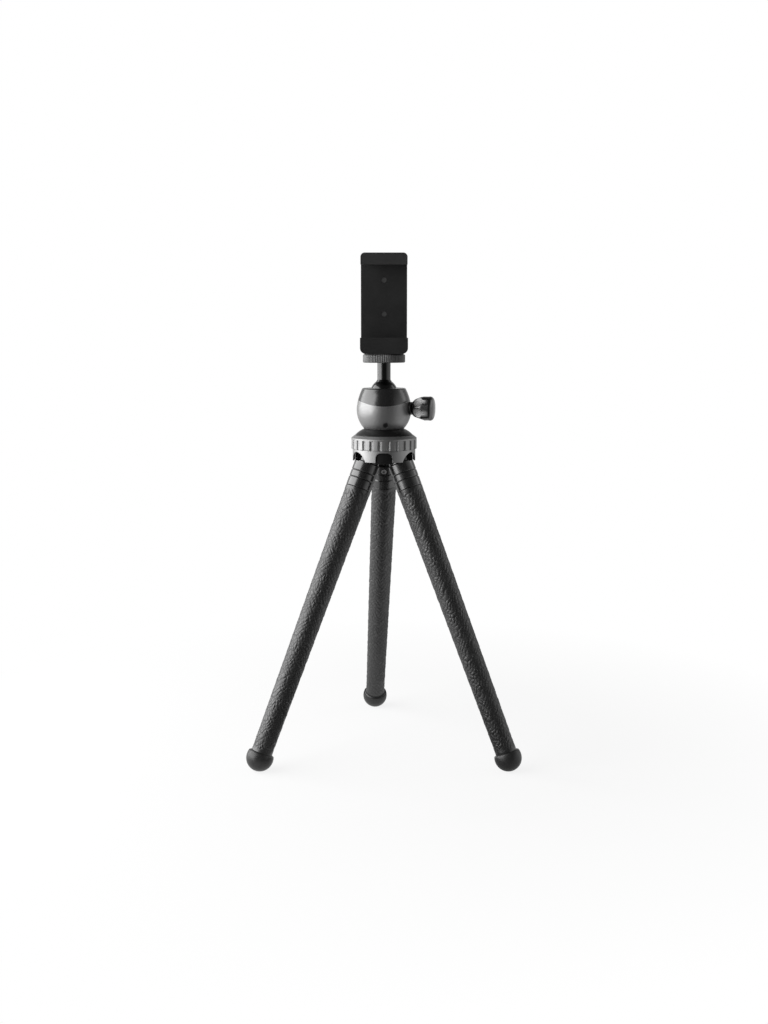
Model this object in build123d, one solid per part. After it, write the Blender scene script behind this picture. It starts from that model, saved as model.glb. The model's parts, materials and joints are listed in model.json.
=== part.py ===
from build123d import *
from math import acos, atan2, cos, degrees, radians, sin, sqrt
import os

# Flexible leg tripod with a ball head and a spring phone clamp
# Millimetres, +Z up, the floor at Z = 0, the front of the object towards -Y.

# Legs: lengths are measured along the leg from its hinge pin
LEG_LENGTH = 245.6  # hinge pin to the middle of the ball foot
LEG_SPLAY = 23.2  # degrees from vertical, as the tripod stands
REAR_AZIMUTH = 90
LEG_AZIMUTHS = {side: REAR_AZIMUTH + 120 * n for n, side in enumerate(("rear", "left", "right"))}
PIVOT_RADIUS = 12.9  # hinge pins from the hub's axis
ROOT_LENGTH = 26.0  # end of the moulded root fitting
SKIN_R_TOP = 10.1
SKIN_R_END = 8.2
CORE_R = 3.0  # bendable aluminium core
CORE_IN_FOOT = 5.0
SKIN_PIECES = 4  # lengths of sleeve between one bend and the next
BEND_GAP = 0.5  # between the ball end of one length and the cup of the next
REAR_LEAN = 2.1  # degrees, the rear leg bent a little to the left

# Ball feet
FOOT_R = 10.5
FOOT_FLAT = 0.5  # how deep the ball is flattened where it stands
FOOT_LEDGE_RISE = 4.5  # flat top of the foot above its middle

# Leg root fittings
ROOT_R = 10.1
KNUCKLE_R = 9.0
SHOULDER_DROP = 4.6  # hinge pin to the shoulder of the fitting
SHOULDER_BEVEL = 0.9
GROOVE_PLACE_SHARES = (0.477, 0.685, 0.972)
GROOVE_W = 1.2
GROOVE_DEPTH = 0.6
COMB_SLOTS = 6
COMB_PITCH = 2.2
COMB_SLOT_W = 1.1
COMB_DEPTH = 0.7
COMB_TOP = 1.0
COMB_H = 3.2
CORE_SCREW_DROP = 9.9  # hinge pin to the screw that grips the core
CORE_SCREW_R = 2.2
CORE_SCREW_LENGTH = 5.0
CORE_SCREW_RECESS = 0.3
HEX_SOCKET_R = 1.1
HEX_SOCKET_DEPTH = 1.4

# Hinge lugs and pins
PIN_R = 1.5
PIN_LENGTH = 14.0
PIN_FIT = 0.05
LUG_T = 6.0
LUG_R = 5.0
LUG_SIDE_GAP = 0.2
LUG_END_GAP = 1.0
LUG_WALL_GAP = 0.4  # to the wall that carries the comb

# Hub sleeve
SKIRT_R = 24.5
SKIRT_WALL = 1.3
SKIRT_DROP = 2.6  # lower edge below the hinge pins
SKIRT_H = 9.3
NECK_R = 23.2
NECK_WALL = 1.4
NECK_LIP_T = 0.8
NECK_LIP_IN = 1.0
ARCH_W = 12.8  # the narrow arches between the legs
ARCH_CORNER_R = 4.0
ARCH_TOP = 4.8  # crown of the arches above the hinge pins
LEG_ARCH_R = 10.2
SHELF_T = 0.7  # the step under the lock ring

# Leg carrier
CARRIER_GAP = 0.4  # knuckles to the underside of the plate
PLATE_T = 3.0
WEB_SHELF_GAP = 1.3  # webs to the underside of the step
WEB_WALL = 2.3
WEB_FIT = 0.3
WEB_ARC = 40.0
WEB_DROP = 3.5

# Lock ring
RING_R = 25.5
RING_FIT = 0.08
FLUTES = 24
FLUTE_H = 8.5
FLUTE_SCOOP_R = 1.6
FLUTE_DEPTH = 1.1
FLUTE_TOP_MARGIN = 1.3
BEVEL_H = 2.1
BEVEL_IN = 2.8
RING_LIP_T = 1.2
RING_LIP_FIT = 0.3  # lip to the neck of the head base
FACE_GAP = 0.1  # between faces that turn on each other

# Head base
PAN_WASHER_T = 0.4
PAN_WASHER_W = 11.4
PAN_WASHER_EDGE = 0.2  # inside the flange's edge
FLANGE_FIT = 0.6  # flange inside the outside of the hub's neck
FLANGE_STEP = 2.5
CONE_EDGE = 0.3  # inside the top of the ring's bevel
CONE_LEDGE = 0.2  # outside the foot of the housing
CONE_H = 4.7
CONE_SAG_SHARE = 0.62
SPIGOT_R = 9.0
SPIGOT_H = 6.4
BOLT_R = 2.5
BOLT_FIT = 0.1
BOLT_LENGTH = 14.0
BOLT_HEAD_R = 4.4
BOLT_HEAD_H = 3.0

# Ball housing and its black collar
HOUSING_R = 21.25
HOUSING_DROP = 16.1  # middle of the housing above its foot
HOUSING_FOOT_R = 15.4
HOUSING_LOW_IN = 1.45  # inside the waist
HOUSING_LOW_RISE = 7.0
COLLAR_MID_IN = 1.35  # inside the waist
COLLAR_MID_DROP = 8.0  # below the rim
COLLAR_TOP_IN = 3.95
COLLAR_TOP_DROP = 1.2
RIM_IN = 5.35
BALL_RISE = 11.7  # middle of the ball above the middle of the housing
RIM_RISE = 3.8  # rim above the middle of the ball
COLLAR_SIDE_RISE = 6.2  # seam above the housing's middle, at the sides
COLLAR_DIP = 4.1  # how far the seam dips at the front and the back
BALL_IN = 10.55  # inside the waist
BALL_FIT = 0.1
MOUTH_BEVEL = 0.7
SEAT_WALL = 0.7  # outside the ball
SEAT_FIT = 0.1
SEAT_RISE_SHARE = 0.35
SEAT_FOOT_H = 1.7
CAVITY_FLOOR_T = 2.1
SPIGOT_TOP_GAP = 0.1
SPRING_IN = 1.0  # inside the seat
SPRING_WIDTH = 3.4
SPRING_T = 0.6
GROOVE_SCREW_GAP = 0.3
SET_SCREW_R = 1.9
SET_SCREW_LENGTH = 5.0
SET_SCREW_RISE = 3.7  # above the housing's foot
SET_SCREW_AZIMUTH = -86

# Lock knob, its bush and its screw
KNOB_AZIMUTH = -15
BUSH_R = 5.0
BUSH_PROUD = 0.95  # outside the waist
BUSH_SEAT_WALL = 1.0  # left between the bush and the seat's bore
SPOT_FACE_R = 5.8
SPOT_FACE_IN = 0.85  # inside the waist
LOCK_SCREW_R = 2.5
LOCK_SCREW_FIT = 0.05
LOCK_SCREW_TIP_R = 1.0
LOCK_SCREW_TIP_L = 2.2
LOCK_SCREW_SEAT_DEPTH = 1.6
KNOB_GAP = 0.4
KNOB_LENGTH = 16.9
KNOB_NECK_R = 4.4
KNOB_R = 9.4
KNOB_CORNER_R = 2.6
KNOB_WAIST_SHARE = 0.56
KNOB_DIMPLES = 6
KNOB_TURN = -16  # how the knob stands on its screw
KNOB_DIMPLE_R = 5.2
KNOB_DIMPLE_OUT = 11.9
KNOB_DIMPLE_SHARE = 0.36
KNOB_SCREW_DEPTH = 9.0

# Stem, camera platform and stud
STEM_R = 5.15
STEM_TOP_RISE = 23.4  # underside of the platform above the middle of the ball
STEM_NECK_R = 6.3
STEM_NECK_RISE = 9.2
PLATFORM_R = 16.4
PLATFORM_H = 6.3
PLATFORM_BEVEL = 0.6
PLATFORM_FLUTES = 40
PLATFORM_FLUTE_DEPTH = 0.6
PAD_T = 0.4
PAD_R = 15.2
STUD_R = 3.175
STUD_SUNK = 7.0
STUD_PROUD = 5.5

# Phone clamp, from its own underside
CLAMP_W = 35.6
CLAMP_H = 75.8
CLAMP_FRONT = 15.0
CLAMP_BACK = 9.5
CLAMP_CORNER_R = 3.2
JAW_LIP_T = 2.4
JAW_LIP_H = 4.0
LOWER_JAW_H = 12.2
LOWER_JAW_EXTRA = 0.5  # wider than the plate, each side
LOWER_CORNER_R = 4.4
UPPER_JAW_H = 8.8
JAW_PAD_T = 1.0
JAW_PAD_INSET = 1.2
PLATE_FACE = 1.0  # the plate that the phone leans on, behind the stud's axis
PLATE_WALL = 2.0
SIDE_WALL = 1.8
COVER_T = 1.5
COVER_FIT = 0.1
JAW_REST_GAP = 0.3
RAIL_IN = 4.6
RAIL_OUT = 9.8
RAIL_T = 3.0
RAIL_GAP = 0.3
RAIL_FOOT = 20.0
BOSS_COLUMN_R = 3.2
GUIDE_SCREW_PLACES = (30.4, 56.2)
GUIDE_SCREW_R = 1.2
GUIDE_HEAD_R = 2.0
GUIDE_HEAD_T = 0.8
GUIDE_RECESS_T = 1.1
CLAMP_SPRING_R = 2.3
CLAMP_SPRING_BORE_R = 1.7
CLAMP_SPRING_X = 12.9
CLAMP_SPRING_FOOT = 16.0
CLAMP_SPRING_L = 22.0
EAR_T = 3.0
EAR_OUT = 15.2
CAVITY_FLOOR = 12.2
INSERT_R = 4.5
INSERT_LENGTH = 8.0
INSERT_FIT = 0.07

OVERRUN = 1.0  # how far a cut runs past the face it starts from
HALF_SHARE = 0.5


# Heights that follow from the sizes above
foot_z = FOOT_R - FOOT_FLAT
PIVOT_Z = foot_z + LEG_LENGTH * cos(radians(LEG_SPLAY))
skirt_z = PIVOT_Z - SKIRT_DROP
ring_z = skirt_z + SKIRT_H
bevel_z = ring_z + FLUTE_H
ring_top = bevel_z + BEVEL_H
plate_z = PIVOT_Z + KNUCKLE_R + CARRIER_GAP
plate_top = plate_z + PLATE_T
neck_top = plate_top + NECK_LIP_T
flange_z = neck_top + PAN_WASHER_T
cone_z = ring_top + FACE_GAP
head_z = cone_z + CONE_H
housing_z = head_z + HOUSING_DROP
ball_z = housing_z + BALL_RISE
rim_z = ball_z + RIM_RISE
platform_z = ball_z + STEM_TOP_RISE
pad_z = platform_z + PLATFORM_H
clamp_z = pad_z + PAD_T + FACE_GAP

# Radii that follow at the foot of the head
flange_r = NECK_R - FLANGE_FIT
base_neck_r = flange_r - FLANGE_STEP
ring_lip_r = base_neck_r + RING_LIP_FIT
ring_top_r = RING_R - BEVEL_IN
cone_r_low = ring_top_r - CONE_EDGE
cone_r_top = HOUSING_FOOT_R + CONE_LEDGE
pan_washer_r = flange_r - PAN_WASHER_EDGE

# Radii and reaches that follow the housing's waist
housing_low_r = HOUSING_R - HOUSING_LOW_IN
collar_mid_r = HOUSING_R - COLLAR_MID_IN
collar_top_r = HOUSING_R - COLLAR_TOP_IN
rim_r = HOUSING_R - RIM_IN
ball_r = HOUSING_R - BALL_IN
seat_r = ball_r + SEAT_WALL
spring_r = seat_r - SPRING_IN
spring_in_r = spring_r - SPRING_WIDTH
bush_reach = HOUSING_R + BUSH_PROUD
spot_face_reach = HOUSING_R - SPOT_FACE_IN

# Places along a leg
sleeve_step = (LEG_LENGTH - FOOT_LEDGE_RISE - ROOT_LENGTH) / SKIN_PIECES
bends = [ROOT_LENGTH + sleeve_step * k for k in range(SKIN_PIECES)]
sleeve_end = bends[-1] + sleeve_step
taper = (SKIN_R_TOP - SKIN_R_END) / (sleeve_end - ROOT_LENGTH)


def skin_radius(place):
    return SKIN_R_TOP - taper * (place - ROOT_LENGTH)


def rear_splay(lean):
    """The splay that keeps a foot on the floor when its leg leans sideways."""
    straight = ROOT_LENGTH + (LEG_LENGTH - ROOT_LENGTH) * cos(radians(lean))
    return degrees(acos(cos(radians(LEG_SPLAY)) * LEG_LENGTH / straight))


def leg_lean(side):
    return REAR_LEAN if side == "rear" else 0


def root_frame(side):
    """The place of a leg's hinge pin, with -Z down the leg and +X outwards."""
    splay = rear_splay(leg_lean(side))
    return Rot(0, 0, LEG_AZIMUTHS[side]) * Pos(PIVOT_RADIUS, 0, PIVOT_Z) * Rot(0, -splay, 0)


def sleeve_frame(side):
    """The same frame for what lies beyond the first bend."""
    return root_frame(side) * Pos(0, 0, -ROOT_LENGTH) * Rot(leg_lean(side), 0, 0) * Pos(0, 0, ROOT_LENGTH)


# The hub's axis stands behind or before the origin, which is the middle of the footprint
rear_foot = sleeve_frame("rear") * Pos(0, 0, -LEG_LENGTH)
front_foot = sleeve_frame("left") * Pos(0, 0, -LEG_LENGTH)
AXIS_Y = -(rear_foot.position.Y + front_foot.position.Y) * HALF_SHARE
WORLD = Pos(0, AXIS_Y, 0)


def save(name, shape):
    export_step(WORLD * shape, f"parts/{name}.step")


def profile(*edges):
    """A face in the XZ plane from edges that close."""
    return make_face(list(edges))


def turned(*points):
    """A solid of revolution about Z, from (radius, height) points joined by straight lines."""
    line = Polyline(*[(r, 0, z) for r, z in points], close=True)
    return revolve(make_face(line.edges()), Axis.Z)


def line(a, b):
    return Line((a[0], 0, a[1]), (b[0], 0, b[1]))


def arc(a, through, b):
    return ThreePointArc((a[0], 0, a[1]), (through[0], 0, through[1]), (b[0], 0, b[1]))


def round_arc(centre_z, a, b):
    """The arc from a to b about a point on the Z axis."""
    radius = sqrt(a[0] ** 2 + (a[1] - centre_z) ** 2)
    turn = (atan2(a[1] - centre_z, a[0]) + atan2(b[1] - centre_z, b[0])) * HALF_SHARE
    return arc(a, (radius * cos(turn), centre_z + radius * sin(turn)), b)


def rod(radius, length):
    """A cylinder from the origin along +Z."""
    return Pos(0, 0, length * HALF_SHARE) * Cylinder(radius, length)


def bar(x0, x1, y0, y1, z0, z1):
    """A box between two corners."""
    middle = Pos((x0 + x1) * HALF_SHARE, (y0 + y1) * HALF_SHARE, (z0 + z1) * HALF_SHARE)
    return middle * Box(x1 - x0, y1 - y0, z1 - z0)


# Leg sleeve and core
def cup_start(place):
    """The distance along the leg where the outside of a length meets its cup."""
    cup = skin_radius(place) + BEND_GAP
    r = skin_radius(place)
    steep = taper * r + sqrt((taper * r) ** 2 + (1 + taper**2) * (cup**2 - r**2))
    return place + steep / (1 + taper**2)


def below(place, radius, inner):
    """The distance along the leg where a ball about the bend reaches the given radius."""
    return place + sqrt(radius**2 - inner**2)


def sleeve_length(k):
    """One length of rubber sleeve: a cup at its top and a ball end at its foot."""
    top = bends[k]
    cup = skin_radius(top) + BEND_GAP
    rim = (skin_radius(cup_start(top)), -cup_start(top))
    bore_top = (CORE_R, -below(top, cup, CORE_R))
    last = k == SKIN_PIECES - 1
    foot = sleeve_end if last else bends[k + 1]
    low = (skin_radius(foot), -foot)
    bore_low = (CORE_R, -foot if last else -below(foot, skin_radius(foot), CORE_R))
    end = line(low, bore_low) if last else round_arc(-foot, low, bore_low)
    face = profile(round_arc(-top, bore_top, rim), line(rim, low), end, line(bore_low, bore_top))
    return revolve(face, Axis.Z)


def core_length(k):
    """The stretch of aluminium core inside one length of sleeve."""
    top = bends[k]
    cup = skin_radius(top) + BEND_GAP
    last = k == SKIN_PIECES - 1
    tip = (0, -top - cup)
    edge = (CORE_R, -below(top, cup, CORE_R))
    if last:
        foot = sleeve_end + CORE_IN_FOOT
        low, end = (CORE_R, -foot), (0, -foot)
        close = line(low, end)
    else:
        ball = skin_radius(bends[k + 1])
        low = (CORE_R, -below(bends[k + 1], ball, CORE_R))
        end = (0, -bends[k + 1] - ball)
        close = round_arc(-bends[k + 1], low, end)
    face = profile(round_arc(-top, tip, edge), line(edge, low), close, line(end, tip))
    return revolve(face, Axis.Z)


def foot_ball():
    """The rubber ball foot with its flat top and the bore for the core."""
    ledge_r = sqrt(FOOT_R**2 - FOOT_LEDGE_RISE**2)
    middle = -LEG_LENGTH
    top = middle + FOOT_LEDGE_RISE
    crown = (ledge_r, top)
    tip = (0, middle - FOOT_R)
    bore_end = top - CORE_IN_FOOT
    face = profile(
        line((CORE_R, top), crown),
        arc(crown, (FOOT_R, middle), tip),
        line(tip, (0, bore_end)),
        line((0, bore_end), (CORE_R, bore_end)),
        line((CORE_R, bore_end), (CORE_R, top)),
    )
    return revolve(face, Axis.Z)


def root_fitting():
    """The moulded root: a forked knuckle, a ribbed collar and a ball end for the first bend."""
    shoulder = -SHOULDER_DROP
    crown = (0, KNUCKLE_R)
    side = (KNUCKLE_R, 0)
    low = (ROOT_R, -ROOT_LENGTH)
    tip = (0, -ROOT_LENGTH - ROOT_R)
    face = profile(
        round_arc(0, crown, side),
        line(side, (KNUCKLE_R, shoulder)),
        line((KNUCKLE_R, shoulder), (ROOT_R - SHOULDER_BEVEL, shoulder)),
        line((ROOT_R - SHOULDER_BEVEL, shoulder), (ROOT_R, shoulder - SHOULDER_BEVEL)),
        line((ROOT_R, shoulder - SHOULDER_BEVEL), low),
        round_arc(-ROOT_LENGTH, low, tip),
        line(tip, crown),
    )
    body = revolve(face, Axis.Z)
    flare = GROOVE_W * HALF_SHARE * (GROOVE_DEPTH + OVERRUN) / GROOVE_DEPTH
    for share in GROOVE_PLACE_SHARES:
        z = -ROOT_LENGTH * share - GROOVE_W * HALF_SHARE
        body -= turned(
            (ROOT_R - GROOVE_DEPTH, z),
            (ROOT_R + OVERRUN, z + flare),
            (ROOT_R + OVERRUN, z - flare),
        )
    slot_half = LUG_T * HALF_SHARE + LUG_SIDE_GAP
    slot_in = -LUG_R - LUG_WALL_GAP
    reach = ROOT_R + OVERRUN
    body -= bar(slot_in, reach, -slot_half, slot_half, -LUG_R - LUG_END_GAP, KNUCKLE_R + OVERRUN)
    body -= Rot(90, 0, 0) * Cylinder(PIN_R + PIN_FIT, PIN_LENGTH)
    for n in range(COMB_SLOTS):
        y = (n - (COMB_SLOTS - 1) * HALF_SHARE) * COMB_PITCH
        depth = sqrt(KNUCKLE_R**2 - y**2) - COMB_DEPTH
        half = COMB_SLOT_W * HALF_SHARE
        body -= bar(-reach, -depth, y - half, y + half, -COMB_TOP - COMB_H, -COMB_TOP)
    body -= core_screw_place() * rod(CORE_SCREW_R, CORE_SCREW_LENGTH + reach)
    return body


def core_screw_place():
    """The screw's inner end, with +Z out through the side that faces the hub's axis."""
    return Pos(-ROOT_R + CORE_SCREW_RECESS + CORE_SCREW_LENGTH, 0, -CORE_SCREW_DROP) * Rot(0, -90, 0)


def core_screw():
    body = rod(CORE_SCREW_R, CORE_SCREW_LENGTH)
    socket = Pos(0, 0, CORE_SCREW_LENGTH - HEX_SOCKET_DEPTH)
    hexagon = extrude(RegularPolygon(HEX_SOCKET_R, 6), HEX_SOCKET_DEPTH + OVERRUN)
    return core_screw_place() * (body - socket * hexagon)


def cut_at_floor(shape):
    """What lies below the floor is taken off, which leaves the foot's small flat."""
    wide = LEG_LENGTH * 2
    return shape - Pos(0, 0, -wide * HALF_SHARE) * Box(wide, wide, wide)


# Hub
def between_legs():
    return [azimuth + 180 / len(LEG_AZIMUTHS) for azimuth in LEG_AZIMUTHS.values()]


def hinge_lug():
    """One lug of the carrier, in the frame of a hinge pin with +X outwards."""
    half = LUG_T * HALF_SHARE
    top = plate_z - PIVOT_Z + PLATE_T * HALF_SHARE
    lug = Rot(90, 0, 0) * Cylinder(LUG_R, LUG_T) + bar(-LUG_R, LUG_R, -half, half, 0, top)
    return lug - Rot(90, 0, 0) * Cylinder(PIN_R, PIN_LENGTH)


def leg_carrier():
    """The black inner body: a plate, three hinge lugs and three webs behind the arches."""
    plate_r = NECK_R - NECK_WALL
    body = Pos(0, 0, plate_z) * rod(plate_r, PLATE_T)
    web_out = SKIRT_R - SKIRT_WALL - WEB_FIT
    web_low = PIVOT_Z - WEB_DROP
    web_top = ring_z - FACE_GAP - SHELF_T - WEB_SHELF_GAP
    web_join = plate_z + PLATE_T * HALF_SHARE
    web = turned(
        (web_out - WEB_WALL, web_low),
        (web_out, web_low),
        (web_out, web_top),
        (plate_r - WEB_FIT, web_top),
        (plate_r - WEB_FIT, web_join),
        (plate_r - WEB_WALL, web_join),
        (plate_r - WEB_WALL, web_top),
    )
    far = SKIRT_R * 2
    aside = far * sin(radians(WEB_ARC * HALF_SHARE))
    wedge = Polyline((0, 0), (far, -aside), (far, aside), close=True)
    sector = extrude(make_face(wedge.edges()), rim_z)
    for azimuth in between_legs():
        body += web & (Rot(0, 0, azimuth) * sector)
    for azimuth in LEG_AZIMUTHS.values():
        body += Rot(0, 0, azimuth) * Pos(PIVOT_RADIUS, 0, PIVOT_Z) * hinge_lug()
    return body - Pos(0, 0, plate_z - OVERRUN) * rod(BOLT_R + BOLT_FIT, PLATE_T + OVERRUN * 2)


def leg_pivot_pins():
    pins = []
    for azimuth in LEG_AZIMUTHS.values():
        frame = Rot(0, 0, azimuth) * Pos(PIVOT_RADIUS, 0, PIVOT_Z) * Rot(90, 0, 0)
        pins.append(frame * Cylinder(PIN_R, PIN_LENGTH - PIN_FIT * 2))
    return Compound(pins)


def hub_sleeve():
    """The grey sleeve: a skirt with three wide and three narrow arches, and the ring's neck."""
    skirt_in = SKIRT_R - SKIRT_WALL
    neck_in = NECK_R - NECK_WALL
    step = ring_z - FACE_GAP
    shelf = step - SHELF_T
    body = turned(
        (skirt_in, skirt_z),
        (SKIRT_R, skirt_z),
        (SKIRT_R, step),
        (NECK_R, step),
        (NECK_R, neck_top),
        (neck_in - NECK_LIP_IN, neck_top),
        (neck_in - NECK_LIP_IN, plate_top),
        (neck_in, plate_top),
        (neck_in, shelf),
        (skirt_in, shelf),
    )
    crown = PIVOT_Z + ARCH_TOP
    reach = SKIRT_R + OVERRUN
    half = ARCH_W * HALF_SHARE
    narrow = bar(0, reach, -half, half, skirt_z - OVERRUN, crown)
    narrow = fillet(narrow.edges().filter_by(Axis.X).group_by(Axis.Z)[-1], ARCH_CORNER_R)
    wide = Pos(0, 0, crown - LEG_ARCH_R) * Rot(0, 90, 0) * rod(LEG_ARCH_R, reach)
    for azimuth in between_legs():
        body -= Rot(0, 0, azimuth) * narrow
    for azimuth in LEG_AZIMUTHS.values():
        body -= Rot(0, 0, azimuth) * wide
    return body


def lock_ring():
    """The knurled ring that clamps the head's flange."""
    bore = NECK_R + RING_FIT
    inner_top = ring_top - RING_LIP_T
    body = turned(
        (bore, ring_z),
        (RING_R, ring_z),
        (RING_R, bevel_z),
        (ring_top_r, ring_top),
        (ring_lip_r, ring_top),
        (ring_lip_r, inner_top),
        (bore, inner_top),
    )
    flute_low = ring_z - OVERRUN
    flute = rod(FLUTE_SCOOP_R, bevel_z - FLUTE_TOP_MARGIN - flute_low)
    flute = Pos(RING_R - FLUTE_DEPTH + FLUTE_SCOOP_R, 0, flute_low) * flute
    for n in range(FLUTES):
        body -= Rot(0, 0, 360 / FLUTES * (n + HALF_SHARE)) * flute
    return body


# Head
def pan_washer():
    return turned(
        (pan_washer_r - PAN_WASHER_W, neck_top),
        (pan_washer_r, neck_top),
        (pan_washer_r, flange_z),
        (pan_washer_r - PAN_WASHER_W, flange_z),
    )


def head_base():
    """The black foot of the head: a flange under the ring's lip, a flared cone and a spigot."""
    flange_top = ring_top - RING_LIP_T - FACE_GAP
    spigot_top = head_z + SPIGOT_H
    half_h = CONE_H * HALF_SHARE
    flare = (cone_r_top + (cone_r_low - cone_r_top) * CONE_SAG_SHARE, cone_z + half_h)
    face = profile(
        line((0, flange_z), (flange_r, flange_z)),
        line((flange_r, flange_z), (flange_r, flange_top)),
        line((flange_r, flange_top), (base_neck_r, flange_top)),
        line((base_neck_r, flange_top), (base_neck_r, cone_z)),
        line((base_neck_r, cone_z), (cone_r_low, cone_z)),
        arc((cone_r_low, cone_z), flare, (cone_r_top, head_z)),
        line((cone_r_top, head_z), (SPIGOT_R, head_z)),
        line((SPIGOT_R, head_z), (SPIGOT_R, spigot_top)),
        line((SPIGOT_R, spigot_top), (0, spigot_top)),
        line((0, spigot_top), (0, flange_z)),
    )
    body = revolve(face, Axis.Z)
    return body - Pos(0, 0, plate_z) * rod(BOLT_R, BOLT_LENGTH)


def centre_bolt():
    head_top = plate_z - FACE_GAP
    head = Pos(0, 0, head_top - BOLT_HEAD_H) * rod(BOLT_HEAD_R, BOLT_HEAD_H)
    socket = Pos(0, 0, head_top - BOLT_HEAD_H - OVERRUN) * rod(BOLT_R, OVERRUN + BOLT_HEAD_H * HALF_SHARE)
    return head - socket + Pos(0, 0, head_top) * rod(BOLT_R, BOLT_LENGTH + FACE_GAP)


def housing_outline():
    """The outside of the housing and collar, from the rim down to the foot."""
    rim = (rim_r, rim_z)
    round_end = (collar_top_r, rim_z - COLLAR_TOP_DROP)
    waist = (HOUSING_R, housing_z)
    foot = (HOUSING_FOOT_R, head_z)
    corner = ((rim_r + collar_top_r * 2) / 3, rim_z - COLLAR_TOP_DROP / 3)
    return [
        arc(rim, corner, round_end),
        arc(round_end, (collar_mid_r, rim_z - COLLAR_MID_DROP), waist),
        arc(waist, (housing_low_r, head_z + HOUSING_LOW_RISE), foot),
    ]


def cavity_floor():
    return head_z + SPIGOT_H + SPIGOT_TOP_GAP + CAVITY_FLOOR_T


def seat_top():
    return ball_z - ball_r * SEAT_RISE_SHARE


def head_shell():
    """Housing and collar in one, before the seam parts them."""
    pocket_r = ball_r + BALL_FIT
    mouth_z = rim_z - MOUTH_BEVEL
    mouth_r = sqrt(pocket_r**2 - (mouth_z - ball_z) ** 2)
    bore = seat_r + SEAT_FIT
    step_z = seat_top() + SEAT_FIT
    spigot_z = head_z + SPIGOT_H + SPIGOT_TOP_GAP
    rim = (rim_r, rim_z)
    edges = [
        line((0, cavity_floor()), (bore, cavity_floor())),
        line((bore, cavity_floor()), (bore, step_z)),
        line((bore, step_z), (pocket_r, step_z)),
        line((pocket_r, step_z), (pocket_r, ball_z)),
        round_arc(ball_z, (pocket_r, ball_z), (mouth_r, mouth_z)),
        line((mouth_r, mouth_z), (mouth_r + MOUTH_BEVEL, rim_z)),
        line((mouth_r + MOUTH_BEVEL, rim_z), rim),
        *housing_outline(),
        line((HOUSING_FOOT_R, head_z), (SPIGOT_R, head_z)),
        line((SPIGOT_R, head_z), (SPIGOT_R, spigot_z)),
        line((SPIGOT_R, spigot_z), (0, spigot_z)),
        line((0, spigot_z), (0, cavity_floor())),
    ]
    body = revolve(profile(*edges), Axis.Z)
    body -= knob_side() * Pos(0, 0, spot_face_reach) * rod(SPOT_FACE_R, bush_reach)
    body -= knob_side() * Pos(0, 0, bush_start()) * rod(BUSH_R, bush_reach)
    body -= knob_side() * rod(LOCK_SCREW_R + LOCK_SCREW_FIT, bush_reach)
    return body - set_screw_place() * rod(SET_SCREW_R, HOUSING_R)


def knob_side():
    """The middle of the housing, with +Z out along the lock screw."""
    return Pos(0, 0, housing_z) * Rot(0, 0, KNOB_AZIMUTH) * Rot(0, 90, 0)


def bush_start():
    return seat_r + SEAT_FIT + BUSH_SEAT_WALL


def lock_bush():
    """The black bush in the housing's wall that the lock screw runs in."""
    length = bush_reach - bush_start()
    bush = rod(BUSH_R, length) - rod(LOCK_SCREW_R + LOCK_SCREW_FIT, length)
    return knob_side() * Pos(0, 0, bush_start()) * bush


def set_screw_place():
    """The point where the set screw meets the spigot, with +Z outwards."""
    return Rot(0, 0, SET_SCREW_AZIMUTH) * Pos(SPIGOT_R, 0, head_z + SET_SCREW_RISE) * Rot(0, 90, 0)


def set_screw():
    hexagon = extrude(RegularPolygon(HEX_SOCKET_R, 6), HEX_SOCKET_DEPTH + OVERRUN)
    socket = Pos(0, 0, SET_SCREW_LENGTH - HEX_SOCKET_DEPTH) * hexagon
    tip = SPIGOT_R - sqrt(SPIGOT_R**2 - SET_SCREW_R**2)
    body = rod(SET_SCREW_R, SET_SCREW_LENGTH) - socket
    return set_screw_place() * (body - rod(SET_SCREW_R + OVERRUN, tip))


def below_seam():
    """The space under the collar's seam: a wide arch along X, high at the sides."""
    seam_r = (HOUSING_R**2 + COLLAR_DIP**2) / (COLLAR_DIP * 2)
    top = housing_z + COLLAR_SIDE_RISE
    return Pos(0, 0, top - seam_r) * Rot(0, 90, 0) * Cylinder(seam_r, HOUSING_R * 4)


def ball_seat():
    """The nylon cup under the ball, with the groove that the lock screw's tip wedges into."""
    low = cavity_floor() + SEAT_FOOT_H
    cup = ball_r + BALL_FIT
    lip_r = sqrt(cup**2 - (seat_top() - ball_z) ** 2)
    tip_r = seat_r - LOCK_SCREW_SEAT_DEPTH - GROOVE_SCREW_GAP
    wide = LOCK_SCREW_R + GROOVE_SCREW_GAP
    narrow = LOCK_SCREW_TIP_R + GROOVE_SCREW_GAP
    face = profile(
        line((0, low), (seat_r, low)),
        line((seat_r, low), (seat_r, housing_z - wide)),
        line((seat_r, housing_z - wide), (tip_r, housing_z - narrow)),
        line((tip_r, housing_z - narrow), (tip_r, housing_z + narrow)),
        line((tip_r, housing_z + narrow), (seat_r, housing_z + wide)),
        line((seat_r, housing_z + wide), (seat_r, seat_top())),
        line((seat_r, seat_top()), (lip_r, seat_top())),
        round_arc(ball_z, (lip_r, seat_top()), (0, ball_z - cup)),
        line((0, ball_z - cup), (0, low)),
    )
    return revolve(face, Axis.Z)


def seat_spring():
    """The cone washer that lifts the seat against the ball."""
    floor = cavity_floor()
    top = floor + SEAT_FOOT_H - FACE_GAP
    return turned(
        (spring_r, floor),
        (spring_r, floor + SPRING_T),
        (spring_in_r, top),
        (spring_in_r, top - SPRING_T),
    )


def knob_frame():
    """The lock knob's inner face, with +Z out along its screw."""
    return knob_side() * Pos(0, 0, bush_reach + KNOB_GAP)


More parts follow.
